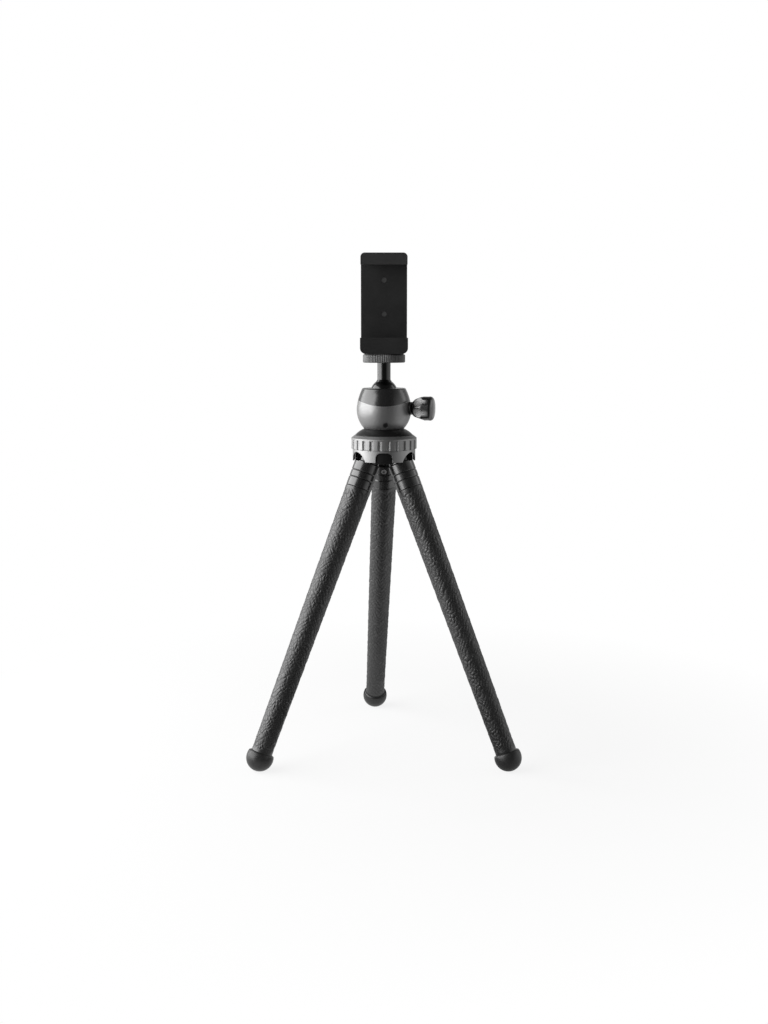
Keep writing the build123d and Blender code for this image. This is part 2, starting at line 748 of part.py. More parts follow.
def lock_knob():
    """A tulip knob: narrow neck, full waist, rounded end and a ring of thumb dimples."""
    waist_z = KNOB_LENGTH * KNOB_WAIST_SHARE
    face = profile(
        line((LOCK_SCREW_R, 0), (KNOB_NECK_R, 0)),
        TangentArc((KNOB_R, 0, waist_z), (KNOB_NECK_R, 0, 0), tangent=(0, 0, -1)),
        line((KNOB_R, waist_z), (KNOB_R, KNOB_LENGTH)),
        line((KNOB_R, KNOB_LENGTH), (0, KNOB_LENGTH)),
        line((0, KNOB_LENGTH), (0, KNOB_SCREW_DEPTH)),
        line((0, KNOB_SCREW_DEPTH), (LOCK_SCREW_R, KNOB_SCREW_DEPTH)),
        line((LOCK_SCREW_R, KNOB_SCREW_DEPTH), (LOCK_SCREW_R, 0)),
    )
    body = revolve(face, Axis.Z)
    body = fillet(body.edges().group_by(Axis.Z)[-1], KNOB_CORNER_R)
    for n in range(KNOB_DIMPLES):
        place = Rot(0, 0, KNOB_TURN + 360 / KNOB_DIMPLES * n)
        body -= place * Pos(KNOB_DIMPLE_OUT, 0, KNOB_LENGTH * KNOB_DIMPLE_SHARE) * Sphere(KNOB_DIMPLE_R)
    return knob_frame() * body


def lock_screw():
    """The screw from inside the knob to its cone tip in the seat's groove."""
    tip = seat_r - LOCK_SCREW_SEAT_DEPTH
    end = bush_reach + KNOB_GAP + KNOB_SCREW_DEPTH
    body = turned(
        (0, tip),
        (LOCK_SCREW_TIP_R, tip),
        (LOCK_SCREW_R, tip + LOCK_SCREW_TIP_L),
        (LOCK_SCREW_R, end),
        (0, end),
    )
    return knob_side() * body


def ball_stem():
    """Ball and stem in one, bored for the stud."""
    neck_top_z = ball_z + sqrt(ball_r**2 - STEM_NECK_R**2)
    join_z = ball_z + STEM_NECK_RISE + STEM_NECK_R - STEM_R
    bore_z = platform_z - STUD_SUNK
    face = profile(
        arc((0, ball_z - ball_r), (ball_r, ball_z), (STEM_NECK_R, neck_top_z)),
        line((STEM_NECK_R, neck_top_z), (STEM_R, join_z)),
        line((STEM_R, join_z), (STEM_R, platform_z)),
        line((STEM_R, platform_z), (STUD_R, platform_z)),
        line((STUD_R, platform_z), (STUD_R, bore_z)),
        line((STUD_R, bore_z), (0, bore_z)),
        line((0, bore_z), (0, ball_z - ball_r)),
    )
    return revolve(face, Axis.Z)


def camera_platform():
    """The knurled disc under the camera or clamp."""
    body = turned(
        (STUD_R, platform_z),
        (PLATFORM_R - PLATFORM_BEVEL, platform_z),
        (PLATFORM_R, platform_z + PLATFORM_BEVEL),
        (PLATFORM_R, pad_z - PLATFORM_BEVEL),
        (PLATFORM_R - PLATFORM_BEVEL, pad_z),
        (STUD_R, pad_z),
    )
    side = PLATFORM_FLUTE_DEPTH * sqrt(2)
    middle = platform_z + PLATFORM_H * HALF_SHARE
    flute = Pos(PLATFORM_R, 0, middle) * Rot(0, 0, 45) * Box(side, side, PLATFORM_H + OVERRUN)
    for n in range(PLATFORM_FLUTES):
        body -= Rot(0, 0, 360 / PLATFORM_FLUTES * n) * flute
    return body


def platform_pad():
    return Pos(0, 0, pad_z) * (rod(PAD_R, PAD_T) - rod(STUD_R, PAD_T))


def camera_stud():
    length = STUD_SUNK + PLATFORM_H + PAD_T + STUD_PROUD
    return Pos(0, 0, platform_z - STUD_SUNK) * rod(STUD_R, length)


# Phone clamp, built from its own underside with the stud on the Z axis
half_w = CLAMP_W * HALF_SHARE
frame_top = CLAMP_H - UPPER_JAW_H + JAW_LIP_H - JAW_REST_GAP
jaw_floor = LOWER_JAW_H - JAW_LIP_H
jaw_ceiling = frame_top + JAW_REST_GAP
cavity_face = PLATE_FACE + PLATE_WALL
cover_face = CLAMP_BACK - COVER_T
rail_face = cavity_face + RAIL_GAP
spring_top = CLAMP_SPRING_FOOT + CLAMP_SPRING_L


def rounded_front(shape, radius, z):
    """Rounds the corners of a jaw that run front to back at the given height."""
    corners = [e for e in shape.edges().filter_by(Axis.Y) if abs(e.center().Z - z) < FACE_GAP]
    outer = [e for e in corners if abs(e.center().X) > half_w - FACE_GAP]
    return fillet(outer, radius)


def clamp_frame():
    """Lower jaw, phone plate and side walls in one moulding, open at the back and the top."""
    jaw_half = half_w + LOWER_JAW_EXTRA
    jaw = bar(-jaw_half, jaw_half, -CLAMP_FRONT, CLAMP_BACK, 0, jaw_floor)
    jaw += bar(-jaw_half, jaw_half, -CLAMP_FRONT, -CLAMP_FRONT + JAW_LIP_T, 0, LOWER_JAW_H)
    jaw = rounded_front(jaw, LOWER_CORNER_R, 0)
    body = jaw + bar(-half_w, half_w, PLATE_FACE, CLAMP_BACK, jaw_floor - OVERRUN, frame_top)
    inner = half_w - SIDE_WALL
    body -= bar(-inner, inner, cavity_face, CLAMP_BACK + OVERRUN, CAVITY_FLOOR, frame_top + OVERRUN)
    for z in GUIDE_SCREW_PLACES:
        body += Pos(0, cavity_face, z) * Rot(-90, 0, 0) * rod(BOSS_COLUMN_R, cover_face - cavity_face)
        hole = Pos(0, PLATE_FACE, z) * Rot(-90, 0, 0)
        body -= hole * rod(GUIDE_SCREW_R, CLAMP_BACK)
        body -= hole * rod(GUIDE_HEAD_R, GUIDE_RECESS_T)
    return body - rod(INSERT_R, INSERT_LENGTH)


def rear_cover():
    inner = half_w - SIDE_WALL - COVER_FIT
    top = frame_top - COVER_T
    body = bar(-inner, inner, cover_face, CLAMP_BACK, CAVITY_FLOOR + COVER_FIT, top)
    for z in GUIDE_SCREW_PLACES:
        body -= Pos(0, cover_face, z) * Rot(-90, 0, 0) * rod(GUIDE_SCREW_R, COVER_T * HALF_SHARE)
    return body


def guide_screws():
    screws = []
    shank = cover_face + COVER_T * HALF_SHARE - PLATE_FACE - GUIDE_RECESS_T
    head_sunk = GUIDE_RECESS_T - GUIDE_HEAD_T
    for z in GUIDE_SCREW_PLACES:
        frame = Pos(0, PLATE_FACE + head_sunk, z) * Rot(-90, 0, 0)
        screws.append(frame * (rod(GUIDE_HEAD_R, GUIDE_HEAD_T) + rod(GUIDE_SCREW_R, GUIDE_HEAD_T + shank)))
    return Compound(screws)


def upper_jaw():
    """The sliding jaw: a lipped shelf on two rails that run down inside the frame."""
    jaw = bar(-half_w, half_w, -CLAMP_FRONT, CLAMP_BACK, jaw_ceiling, CLAMP_H)
    lip_z = jaw_ceiling - JAW_LIP_H
    jaw += bar(-half_w, half_w, -CLAMP_FRONT, -CLAMP_FRONT + JAW_LIP_T, lip_z, CLAMP_H)
    body = rounded_front(jaw, CLAMP_CORNER_R, CLAMP_H)
    for side in (-1, 1):
        edges = sorted((side * RAIL_IN, side * RAIL_OUT))
        body += bar(*edges, rail_face, rail_face + RAIL_T, RAIL_FOOT, jaw_ceiling + OVERRUN)
        ear = sorted((side * RAIL_OUT, side * EAR_OUT))
        body += bar(*ear, rail_face, rail_face + RAIL_T, spring_top, spring_top + EAR_T)
    return body


def clamp_springs():
    coil = rod(CLAMP_SPRING_R, CLAMP_SPRING_L) - rod(CLAMP_SPRING_BORE_R, CLAMP_SPRING_L)
    middle_y = (cavity_face + cover_face) * HALF_SHARE
    return Compound([Pos(side * CLAMP_SPRING_X, middle_y, CLAMP_SPRING_FOOT) * coil for side in (-1, 1)])


def spring_pegs():
    """The two blocks at the foot of the cavity that the springs hook on."""
    middle_y = (cavity_face + cover_face) * HALF_SHARE
    peg = rod(CLAMP_SPRING_R, CLAMP_SPRING_FOOT - CAVITY_FLOOR)
    return [Pos(side * CLAMP_SPRING_X, middle_y, CAVITY_FLOOR) * peg for side in (-1, 1)]


def jaw_pad(z):
    inner = half_w - JAW_PAD_INSET
    front = -CLAMP_FRONT + JAW_LIP_T
    return bar(-inner, inner, front, PLATE_FACE, z, z + JAW_PAD_T)


def thread_insert():
    return rod(INSERT_R, INSERT_LENGTH) - rod(STUD_R + INSERT_FIT, INSERT_LENGTH)


os.makedirs("parts", exist_ok=True)
CLAMP = Pos(0, 0, clamp_z)

for side in LEG_AZIMUTHS:
    root, sleeve = root_frame(side), sleeve_frame(side)
    save(f"{side}_leg_root", root * root_fitting())
    save(f"{side}_leg_core_screw", root * core_screw())
    for k in range(SKIN_PIECES):
        save(f"{side}_leg_sleeve_{k + 1}", sleeve * sleeve_length(k))
        save(f"{side}_leg_core_{k + 1}", sleeve * core_length(k))
    save(f"{side}_foot", cut_at_floor(sleeve * foot_ball()))

save("leg_carrier", leg_carrier())
save("leg_pivot_pins", leg_pivot_pins())
save("hub_sleeve", hub_sleeve())
save("lock_ring", lock_ring())
save("pan_washer", pan_washer())
save("head_base", head_base())
save("centre_bolt", centre_bolt())

shell = head_shell()
save("ball_housing", shell & below_seam())
save("housing_collar", shell - below_seam())
save("base_set_screw", set_screw())
save("ball_seat", ball_seat())
save("seat_spring", seat_spring())
save("lock_bush", lock_bush())
save("lock_knob", lock_knob())
save("lock_screw", lock_screw())
save("ball_stem", ball_stem())
save("camera_platform", camera_platform())
save("platform_pad", platform_pad())
save("camera_stud", camera_stud())

frame = clamp_frame()
for peg in spring_pegs():
    frame += peg
save("clamp_frame", CLAMP * frame)
save("clamp_rear_cover", CLAMP * rear_cover())
save("clamp_guide_screws", CLAMP * guide_screws())
save("clamp_upper_jaw", CLAMP * upper_jaw())
save("clamp_springs", CLAMP * clamp_springs())
save("lower_jaw_pad", CLAMP * jaw_pad(jaw_floor))
save("upper_jaw_pad", CLAMP * jaw_pad(jaw_ceiling - JAW_PAD_T))
save("clamp_thread_insert", CLAMP * thread_insert())

print("hub axis at Y =", round(AXIS_Y, 3), "hinge pins at Z =", round(PIVOT_Z, 3))
print("bends along a leg:", [round(b, 3) for b in bends])
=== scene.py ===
import json
from math import cos, pi, radians, sin, sqrt, tau

import bpy
import numpy as np
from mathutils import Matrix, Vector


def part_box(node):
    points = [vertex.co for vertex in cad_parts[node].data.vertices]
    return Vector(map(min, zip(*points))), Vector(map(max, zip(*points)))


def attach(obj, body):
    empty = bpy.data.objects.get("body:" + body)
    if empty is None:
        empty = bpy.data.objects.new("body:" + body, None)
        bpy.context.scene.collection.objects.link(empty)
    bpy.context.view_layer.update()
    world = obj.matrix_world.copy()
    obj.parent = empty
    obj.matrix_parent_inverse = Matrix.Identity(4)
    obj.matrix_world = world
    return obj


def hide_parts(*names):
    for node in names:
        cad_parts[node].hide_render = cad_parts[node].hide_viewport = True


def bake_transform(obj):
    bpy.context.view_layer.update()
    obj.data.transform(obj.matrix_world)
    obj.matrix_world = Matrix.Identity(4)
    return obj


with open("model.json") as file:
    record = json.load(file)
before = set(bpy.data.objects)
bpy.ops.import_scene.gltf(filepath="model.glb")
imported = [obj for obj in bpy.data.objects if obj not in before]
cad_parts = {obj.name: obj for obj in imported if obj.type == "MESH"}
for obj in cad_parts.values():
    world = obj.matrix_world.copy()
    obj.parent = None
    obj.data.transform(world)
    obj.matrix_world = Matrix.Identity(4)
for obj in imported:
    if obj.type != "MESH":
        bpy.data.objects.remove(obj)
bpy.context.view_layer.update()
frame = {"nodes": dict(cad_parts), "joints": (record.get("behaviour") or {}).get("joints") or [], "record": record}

# Flexible leg tripod with a ball head and a spring phone clamp
# Blender works in metres. Sizes here are in millimetres and go through MM.
MM = 0.001

# Legs
SIDES = ("left", "right", "rear")
LENGTHS = 4  # of a leg, with a bend before each
SKIN_R_TOP = 10.1
SKIN_R_END = 8.2
SKIN_BORE_R = 4.2
ROOT_BALL_FIT = 0.05
CELLS_AROUND = 14
CELLS_PER_LENGTH = 12
SAMPLES_PER_CELL = 10
RELIEF_DEPTH = 0.40
GROOVE_SHARE = 0.16  # half width of a groove, as a share of a cell
DOME_SHARE = 0.55  # how much of a pad's height is its dome
CELL_SWAY = 0.19  # how far the rows of pads wander, as a share of a cell
# The sines that sway them: waves round the leg, radians per cell along it, and strength
SWAYS_ROUND = ((3, 1.7, 1.0), (5, -2.9, 0.8))
SWAYS_ALONG = ((4, 1.1, 1.0), (6, -2.3, 0.8))
PAD_LEVEL = 0.78  # a pad's height, and how far it differs from pad to pad
PAD_LEVEL_SPREAD = 0.22
PAD_ROW_STEP = 1.9  # radians from one row of pads to the next, and from pad to pad round the leg
PAD_TURN_STEP = 2.7
RELIEF_START = 1.0  # plain rubber at each end of the skin
RELIEF_FADE = 3.0
SOCKET_ROWS = 14  # rows of points in the hollow for the root's ball

# Ball feet
FOOT_R = 10.5
FOOT_LEDGE_RISE = 4.5
FOOT_LIP_R = 1.7
FOOT_FLAT_BLEND = 0.1  # how softly the ball runs into its flat
FOOT_TIP_R = 0.5  # the first ring round the pole of the ledge
FOOT_LEDGE_FIT = 0.4  # the ledge's outer ring, inside the sleeve's end
FOOT_BALL_END = -89  # degrees, just before the pole
FOOT_LIP_ROWS = 6
FOOT_BALL_ROWS = 48
FOOT_COLUMNS = 96

# Lock knob, from the outer end of its bush
KNOB_GAP = 0.4
KNOB_LENGTH = 16.9
KNOB_NECK_R = 4.4
KNOB_R = 9.4
KNOB_CORNER_R = 2.6
KNOB_WAIST_SHARE = 0.56
KNOB_DIMPLES = 6
KNOB_TURN = -9  # how the knob stands on its screw, in degrees
KNOB_DIMPLE_R = 6.5
KNOB_DIMPLE_OUT = 12.9
KNOB_DIMPLE_SHARE = 0.27
KNOB_EDGE = 0.6  # how softly a dimple meets the flank
KNOB_END_CROWN = 0.5
KNOB_FLANK_ROWS = 48
KNOB_END_SHARES = (0.9, 0.1, 8)  # the end's first and last ring, as shares of its radius, and how many
KNOB_COLUMNS = 192

# Camera platform
PLATFORM_R = 16.4
PLATFORM_FLUTES = 72
PLATFORM_FLUTE_DEPTH = 0.42
PLATFORM_BEVEL = 0.6
PLATFORM_BORE_R = 3.175
PLATFORM_EDGE_STEP = 0.05  # between the rings beside a corner, which keep its shading crisp
PLATFORM_FACE_STEP = 0.4  # from a bevel to the first ring on the flat face
PLATFORM_FLUTE_IN = 0.2  # how far inside the bevel a groove fades out
PLATFORM_FLUTE_STEEP = 1.5  # a groove's triangle wave is this high before its foot is cut off
PLATFORM_FLUTE_COLUMNS = 8

# Jaw pads
PAD_RIB_PITCH = 1.5
PAD_RIB_DEPTH = 0.45
PAD_RIB_POWER = 0.6  # below 1 it makes a rib blunt
PAD_RIB_ROWS = 8

# Rounded edges
EDGE_WELD = 0.001  # points nearer than this are one
EDGE_SEGMENTS = 2
EDGE_ANGLE = 32  # an edge that turns by more degrees is rounded
ROOT_EDGE = 0.38
EDGE_WIDTHS = {
    "hub_sleeve": 0.25,
    "lock_ring": 0.18,
    "head_base": 0.25,
    "ball_housing": 0.20,
    "housing_collar": 1.00,
    "clamp_frame": 0.45,
    "clamp_upper_jaw": 0.75,
    "clamp_rear_cover": 0.25,
    "leg_carrier": 0.25,
}

# Patterns, as repeats per metre
GRAINS = 2500.0
HANDLING_PATCHES = 55.0
LATHE_LINES = 9000.0
DUST_SPECKS = 420.0
DUST_AREAS = 30.0
PAINT_FLAKES = 4200.0
# and the band of the noise, or of the distance from a cell's middle, in which each comes in
HANDLING_BAND = (0.35, 0.65)
SPECK_BAND = (0.10, 0.04)
DUST_BAND = (0.52, 0.68)
FLAKE_BAND = (0.55, 0.15)
LATHE_LINE_TONE = 0.90  # against the metal beside it
DUST_GREY = 150

# Studio: strengths, where 1 is white, and the directions over which each wall comes in
SOFT_LIGHT = 0.28
FRONT_WALL = 0.09
LEFT_WALL_X = (-0.35, -0.85)
LEFT_WALL_FOOT = 0.55  # how bright the left wall is in the table, against the wall itself
LEFT_WALL_FOOT_Z = (-0.05, -0.40)
BACK_WALL_Y = (0.30, 0.95)
BACK_WALL = (0.8, 0.6)  # in the middle and on the right
BACK_WALL_X = (0.0, 0.7)
RIGHT_WALL = 0.90
RIGHT_WALL_X = (0.58, 0.98)
FLOOR_GLOW = 0.20
FLOOR_GLOW_Z = (-0.25, -0.80)
CEILING = 0.15  # how much of the walls is left overhead
CEILING_Z = (0.30, 0.80)

# Camera and floor, in metres and degrees, and the lens and its frame in millimetres
LENS = 42.39
FRAME_HEIGHT = 36
CAMERA_PLACE = (0, -0.9690, 0.3272)
CAMERA_TILT = 81.83  # from straight down
LAMP_TARGET = (0, 0, 0.22)
FLOOR_HALF = 4.0
FLOOR_TONE = 0.86
FLOOR_WHITE = 0.85  # how white the camera sees the floor under the object
FLOOR_FADE = (0.18, 0.42)  # and from where to where it turns all white


# Mesh helpers
def unit(vector):
    vector = np.asarray(vector, float)
    return vector / np.linalg.norm(vector)


def smooth_step(low, high, value):
    """0 below low, 1 above high, and 3t^2 - 2t^3 between them."""
    t = np.clip((value - low) / (high - low), 0, 1)
    return t * t * (3 - 2 * t)


def ring_faces(rows, columns, closed):
    """Quads between neighbouring rows of a grid whose columns run round, and from the last row
    back to the first where the grid is closed."""
    r, c = np.meshgrid(np.arange(rows if closed else rows - 1), np.arange(columns), indexing="ij")
    r2, c2 = (r + 1) % rows, (c + 1) % columns
    quads = [r * columns + c, r * columns + c2, r2 * columns + c2, r2 * columns + c]
    return np.stack(quads, -1).reshape(-1, 4).tolist()


def enclosed_volume(points, faces):
    """Six times the signed volume: the sum of a . (b x c) over the faces cut into fans."""
    total = 0.0
    for size in {len(f) for f in faces}:
        f = np.array([f for f in faces if len(f) == size])
        for k in range(1, size - 1):
            a, b, c = points[f[:, 0]], points[f[:, k]], points[f[:, k + 1]]
            total += np.einsum("ij,ij->i", a, np.cross(b, c)).sum()
    return total


def piece(name, points, faces, material, sharp_angle=40):
    """A closed mesh whose faces point outwards, in metres, from points in millimetres."""
    points = np.asarray(points, float)
    if enclosed_volume(points - points.mean(0), faces) < 0:
        faces = [f[::-1] for f in faces]
    mesh = bpy.data.meshes.new(name)
    mesh.from_pydata((points * MM).tolist(), [], faces)
    mesh.shade_smooth()
    mesh.set_sharp_from_angle(angle=radians(sharp_angle))
    mesh.materials.append(material)
    obj = bpy.data.objects.new(name, mesh)
    bpy.context.scene.collection.objects.link(obj)
    return obj


def turned_grid(radius, along, origin, axes, columns):
    """Points of a surface of revolution: origin + along * z + radius (cos t x + sin t y), for
    arrays of radius and along with one row per profile point; radius may vary round the axis."""
    turn = np.arange(columns) * tau / columns
    radius = np.broadcast_to(np.asarray(radius, float).reshape(len(along), -1), (len(along), columns))
    x, y, z = axes
    round_part = radius[..., None] * (np.cos(turn)[:, None] * x + np.sin(turn)[:, None] * y)
    return origin + round_part + np.asarray(along, float)[:, None, None] * z


def capped(grid):
    """A grid of rings closed by one pole at each end: points and faces."""
    rows, columns = grid.shape[:2]
    points = grid.reshape(-1, 3)
    first, last = rows * columns, rows * columns + 1
    points = np.vstack([points, grid[0].mean(0), grid[-1].mean(0)])
    c = np.arange(columns)
    c2 = (c + 1) % columns
    end = (rows - 1) * columns
    faces = ring_faces(rows, columns, False)
    faces += np.stack([c2, c, np.full(columns, first)], -1).tolist()
    faces += np.stack([end + c, end + c2, np.full(columns, last)], -1).tolist()
    return points, faces


def arc(centre, radius, start, end, steps):
    """Points (r, z) on an arc about a centre in the profile plane, angles in degrees."""
    turn = np.radians(np.linspace(start, end, steps))
    return np.stack([centre[0] + radius * np.cos(turn), centre[1] + radius * np.sin(turn)], -1)


def joint(name):
    """The frame's joint of that name."""
    return next(j for j in frame["joints"] if j["name"] == name)


def place_of(name):
    """The point of a joint, in millimetres."""
    return np.array(joint(name)["pos_m"]) / MM


# Shader helpers
def grey(level):
    """Linear value of a display grey from 0 to 255."""
    share = level / 255
    return ((share + 0.055) / 1.055) ** 2.4


def add_node(tree, kind, inputs=(), **settings):
    """A node with its settings made, and each input linked to a socket or set to a value."""
    made = tree.nodes.new(kind)
    for key, value in settings.items():
        setattr(made, key, value)
    for key, value in dict(inputs).items():
        if isinstance(value, bpy.types.NodeSocket):
            tree.links.new(value, made.inputs[key])
        else:
            made.inputs[key].default_value = value
    return made


def new_group(name, inputs, outputs):
    """An empty shader group with float outputs: its tree and both ends. An input whose value is
    None is a vector, and the others are floats with that value."""
    tree = bpy.data.node_groups.new(name, "ShaderNodeTree")
    for key, value in inputs.items():
        kind = "NodeSocketVector" if value is None else "NodeSocketFloat"
        socket = tree.interface.new_socket(key, in_out="INPUT", socket_type=kind)
        if value is not None:
            socket.default_value = value
    for key in outputs:
        tree.interface.new_socket(key, in_out="OUTPUT", socket_type="NodeSocketFloat")
    return tree, tree.nodes.new("NodeGroupInput").outputs, tree.nodes.new("NodeGroupOutput").inputs


def math_node(tree, operation, first, second=0.0):
    return add_node(tree, "ShaderNodeMath", {0: first, 1: second}, operation=operation).outputs[0]


def map_range(tree, value, low, high, to_low=0.0, to_high=1.0):
    inputs = {"Value": value, "From Min": low, "From Max": high, "To Min": to_low, "To Max": to_high}
    return add_node(tree, "ShaderNodeMapRange", inputs, clamp=True).outputs["Result"]


def noise(tree, where, scale, detail):
    inputs = {"Vector": where, "Scale": scale, "Detail": detail}
    return add_node(tree, "ShaderNodeTexNoise", inputs).outputs["Fac"]


def grain_group():
    """Moulded grain: fine noise gives the height, and broad noise gives patches where the
    surface is handled and a little smoother."""
    inputs = {"Vector": None, "Grains per m": GRAINS}
    tree, given, out = new_group("moulded grain", inputs, ("Height", "Handling"))
    fine = noise(tree, given[0], given[1], 2.0)
    broad = noise(tree, given[0], HANDLING_PATCHES, 3.0)
    tree.links.new(fine, out[0])
    tree.links.new(map_range(tree, broad, *HANDLING_BAND), out[1])
    return tree


def turning_group():
    """Fine lathe lines round an upright axis: noise of the height and the distance from the axis."""
    inputs = {"Vector": None, "Lines per m": LATHE_LINES}
    tree, given, out = new_group("turning lines", inputs, ("Lines",))
    parts = add_node(tree, "ShaderNodeSeparateXYZ", {0: given[0]})
    square_x = math_node(tree, "MULTIPLY", parts.outputs[0], parts.outputs[0])
    square_y = math_node(tree, "MULTIPLY", parts.outputs[1], parts.outputs[1])
    radius = math_node(tree, "SQRT", math_node(tree, "ADD", square_x, square_y))
    both = add_node(tree, "ShaderNodeCombineXYZ", {0: radius, 2: parts.outputs[2]})
    tree.links.new(noise(tree, both.outputs[0], given[1], 1.0), out[0])
    return tree


def dust_group():
    """Sparse specks of dust: the middles of Voronoi cells, kept only where broad noise is high."""
    inputs = {"Vector": None, "Specks per m": DUST_SPECKS}
    tree, given, out = new_group("dust", inputs, ("Specks",))
    cells = add_node(tree, "ShaderNodeTexVoronoi", {"Vector": given[0], "Scale": given[1]})
    speck = map_range(tree, cells.outputs["Distance"], *SPECK_BAND)
    kept = map_range(tree, noise(tree, given[0], DUST_AREAS, 2.0), *DUST_BAND)
    tree.links.new(math_node(tree, "MULTIPLY", speck, kept), out[0])
    return tree


GRAIN, TURNING, DUST = grain_group(), turning_group(), dust_group()


def material_start(name, colour, roughness, **sockets):
    """A material with its Principled shader, and the object coordinates that its patterns read."""
    material = bpy.data.materials.new(name)
    material.use_nodes = True
    tree = material.node_tree
    shader = tree.nodes["Principled BSDF"]
    shader.inputs["Base Color"].default_value = (*colour, 1)
    shader.inputs["Roughness"].default_value = roughness
    for key, value in sockets.items():
        shader.inputs[key.replace("_", " ")].default_value = value
    where = add_node(tree, "ShaderNodeTexCoord").outputs["Object"]
    return material, tree, shader, where


def grouped(tree, group, inputs):
    return add_node(tree, "ShaderNodeGroup", inputs, node_tree=group)


def blend_colours(tree, factor, first, second):
    """From the first colour to the second by a factor; the first may be a socket."""
    start = first if isinstance(first, bpy.types.NodeSocket) else (*first, 1)
    inputs = {"Factor": factor, "A": start, "B": (*second, 1)}
    return add_node(tree, "ShaderNodeMix", inputs, data_type="RGBA").outputs["Result"]


def set_bump(tree, shader, height, depth):
    """The height, from 0 to 1, stands up to a depth in millimetres."""
    bump = add_node(tree, "ShaderNodeBump", {"Distance": depth * MM, "Height": height})
    tree.links.new(bump.outputs["Normal"], shader.inputs["Normal"])


def moulded(name, level, roughness, grains=GRAINS, depth=0.02, spread=0.10, dust=0.25, **sockets):
    """Moulded plastic or rubber: grain in the surface, smoother where it is handled, light dust.
    The roughness varies by the spread."""
    tone = grey(level)
    material, tree, shader, where = material_start(name, (tone,) * 3, roughness, **sockets)
    grain = grouped(tree, GRAIN, {"Vector": where, "Grains per m": grains})
    handling = grain.outputs["Handling"]
    rough = map_range(tree, handling, 0, 1, roughness + spread * 0.5, roughness - spread * 0.5)
    tree.links.new(rough, shader.inputs["Roughness"])
    specks = grouped(tree, DUST, {"Vector": where}).outputs["Specks"]
    amount = math_node(tree, "MULTIPLY", specks, dust)
    dusty = blend_colours(tree, amount, (tone,) * 3, (grey(DUST_GREY),) * 3)
    tree.links.new(dusty, shader.inputs["Base Color"])
    set_bump(tree, shader, grain.outputs["Height"], depth)
    return material


def turned_metal(name, level, roughness, depth=0.006, spread=0.08, tint=(1, 1, 1), **sockets):
    """Lathe-turned, anodised or polished metal: fine lines round the axis and cloudy gloss."""
    tone = grey(level)
    colour = tuple(tone * t for t in tint)
    material, tree, shader, where = material_start(name, colour, roughness, Metallic=1.0, **sockets)
    centre = add_node(tree, "ShaderNodeMapping", {"Vector": where})
    centre.inputs["Location"].default_value[1] = -place_of("head_pan")[1] * MM
    lines = grouped(tree, TURNING, {"Vector": centre.outputs[0]}).outputs["Lines"]
    handling = grouped(tree, GRAIN, {"Vector": where}).outputs["Handling"]
    rough = map_range(tree, handling, 0, 1, roughness + spread * 0.5, roughness - spread * 0.5)
    tree.links.new(rough, shader.inputs["Roughness"])
    darker = tuple(c * LATHE_LINE_TONE for c in colour)
    tree.links.new(blend_colours(tree, lines, darker, colour), shader.inputs["Base Color"])
    set_bump(tree, shader, lines, depth)
    return material


def metallic_paint():
    """Satin metallic paint of the ball housing: grey with fine bright flakes under a thin coat."""
    base, flake = (grey(122),) * 3, (grey(152),) * 3
    dull, handled = 0.50, 0.42
    material, tree, shader, where = material_start(
        "metallic paint", base, dull, Metallic=0.80, Coat_Weight=0.12, Coat_Roughness=0.30
    )
    flakes = add_node(tree, "ShaderNodeTexVoronoi", {"Vector": where, "Scale": PAINT_FLAKES})
    mask = map_range(tree, flakes.outputs["Distance"], *FLAKE_BAND)
    tree.links.new(blend_colours(tree, mask, base, flake), shader.inputs["Base Color"])
    grain = grouped(tree, GRAIN, {"Vector": where, "Grains per m": 900.0})
    rough = map_range(tree, grain.outputs["Handling"], 0, 1, dull, handled)
    tree.links.new(rough, shader.inputs["Roughness"])
    set_bump(tree, shader, grain.outputs["Height"], 0.012)
    return material


def leg_rubber():
    """Embossed rubber of the legs: the relief attribute runs from 0 in a groove to 1 on a pad,
    and the pads are rubbed smoother than the grooves. The grooves are painted darker than the pads, as dirt and as
    painted shade in the recesses."""
    # the groove's darker grey is dirt and painted shade in the recesses
    groove, pad, dust = (grey(12),) * 3, (grey(26),) * 3, (grey(140),) * 3
    groove_rough, pad_rough = 0.60, 0.34
    material, tree, shader, where = material_start(
        "leg rubber", pad, pad_rough, Specular_IOR_Level=0.8
    )
    relief = add_node(tree, "ShaderNodeAttribute", attribute_name="relief").outputs["Fac"]
    grain = grouped(tree, GRAIN, {"Vector": where, "Grains per m": 3200.0})
    specks = grouped(tree, DUST, {"Vector": where}).outputs["Specks"]
    tone = blend_colours(tree, relief, groove, pad)
    dusty = blend_colours(tree, math_node(tree, "MULTIPLY", specks, 0.18), tone, dust)
    tree.links.new(dusty, shader.inputs["Base Color"])
    patches = map_range(tree, grain.outputs["Handling"], 0, 1, 0.06, -0.04)
    rubbed = map_range(tree, relief, 0, 1, groove_rough, pad_rough)
    tree.links.new(math_node(tree, "ADD", rubbed, patches), shader.inputs["Roughness"])
    set_bump(tree, shader, grain.outputs["Height"], 0.015)
    return material


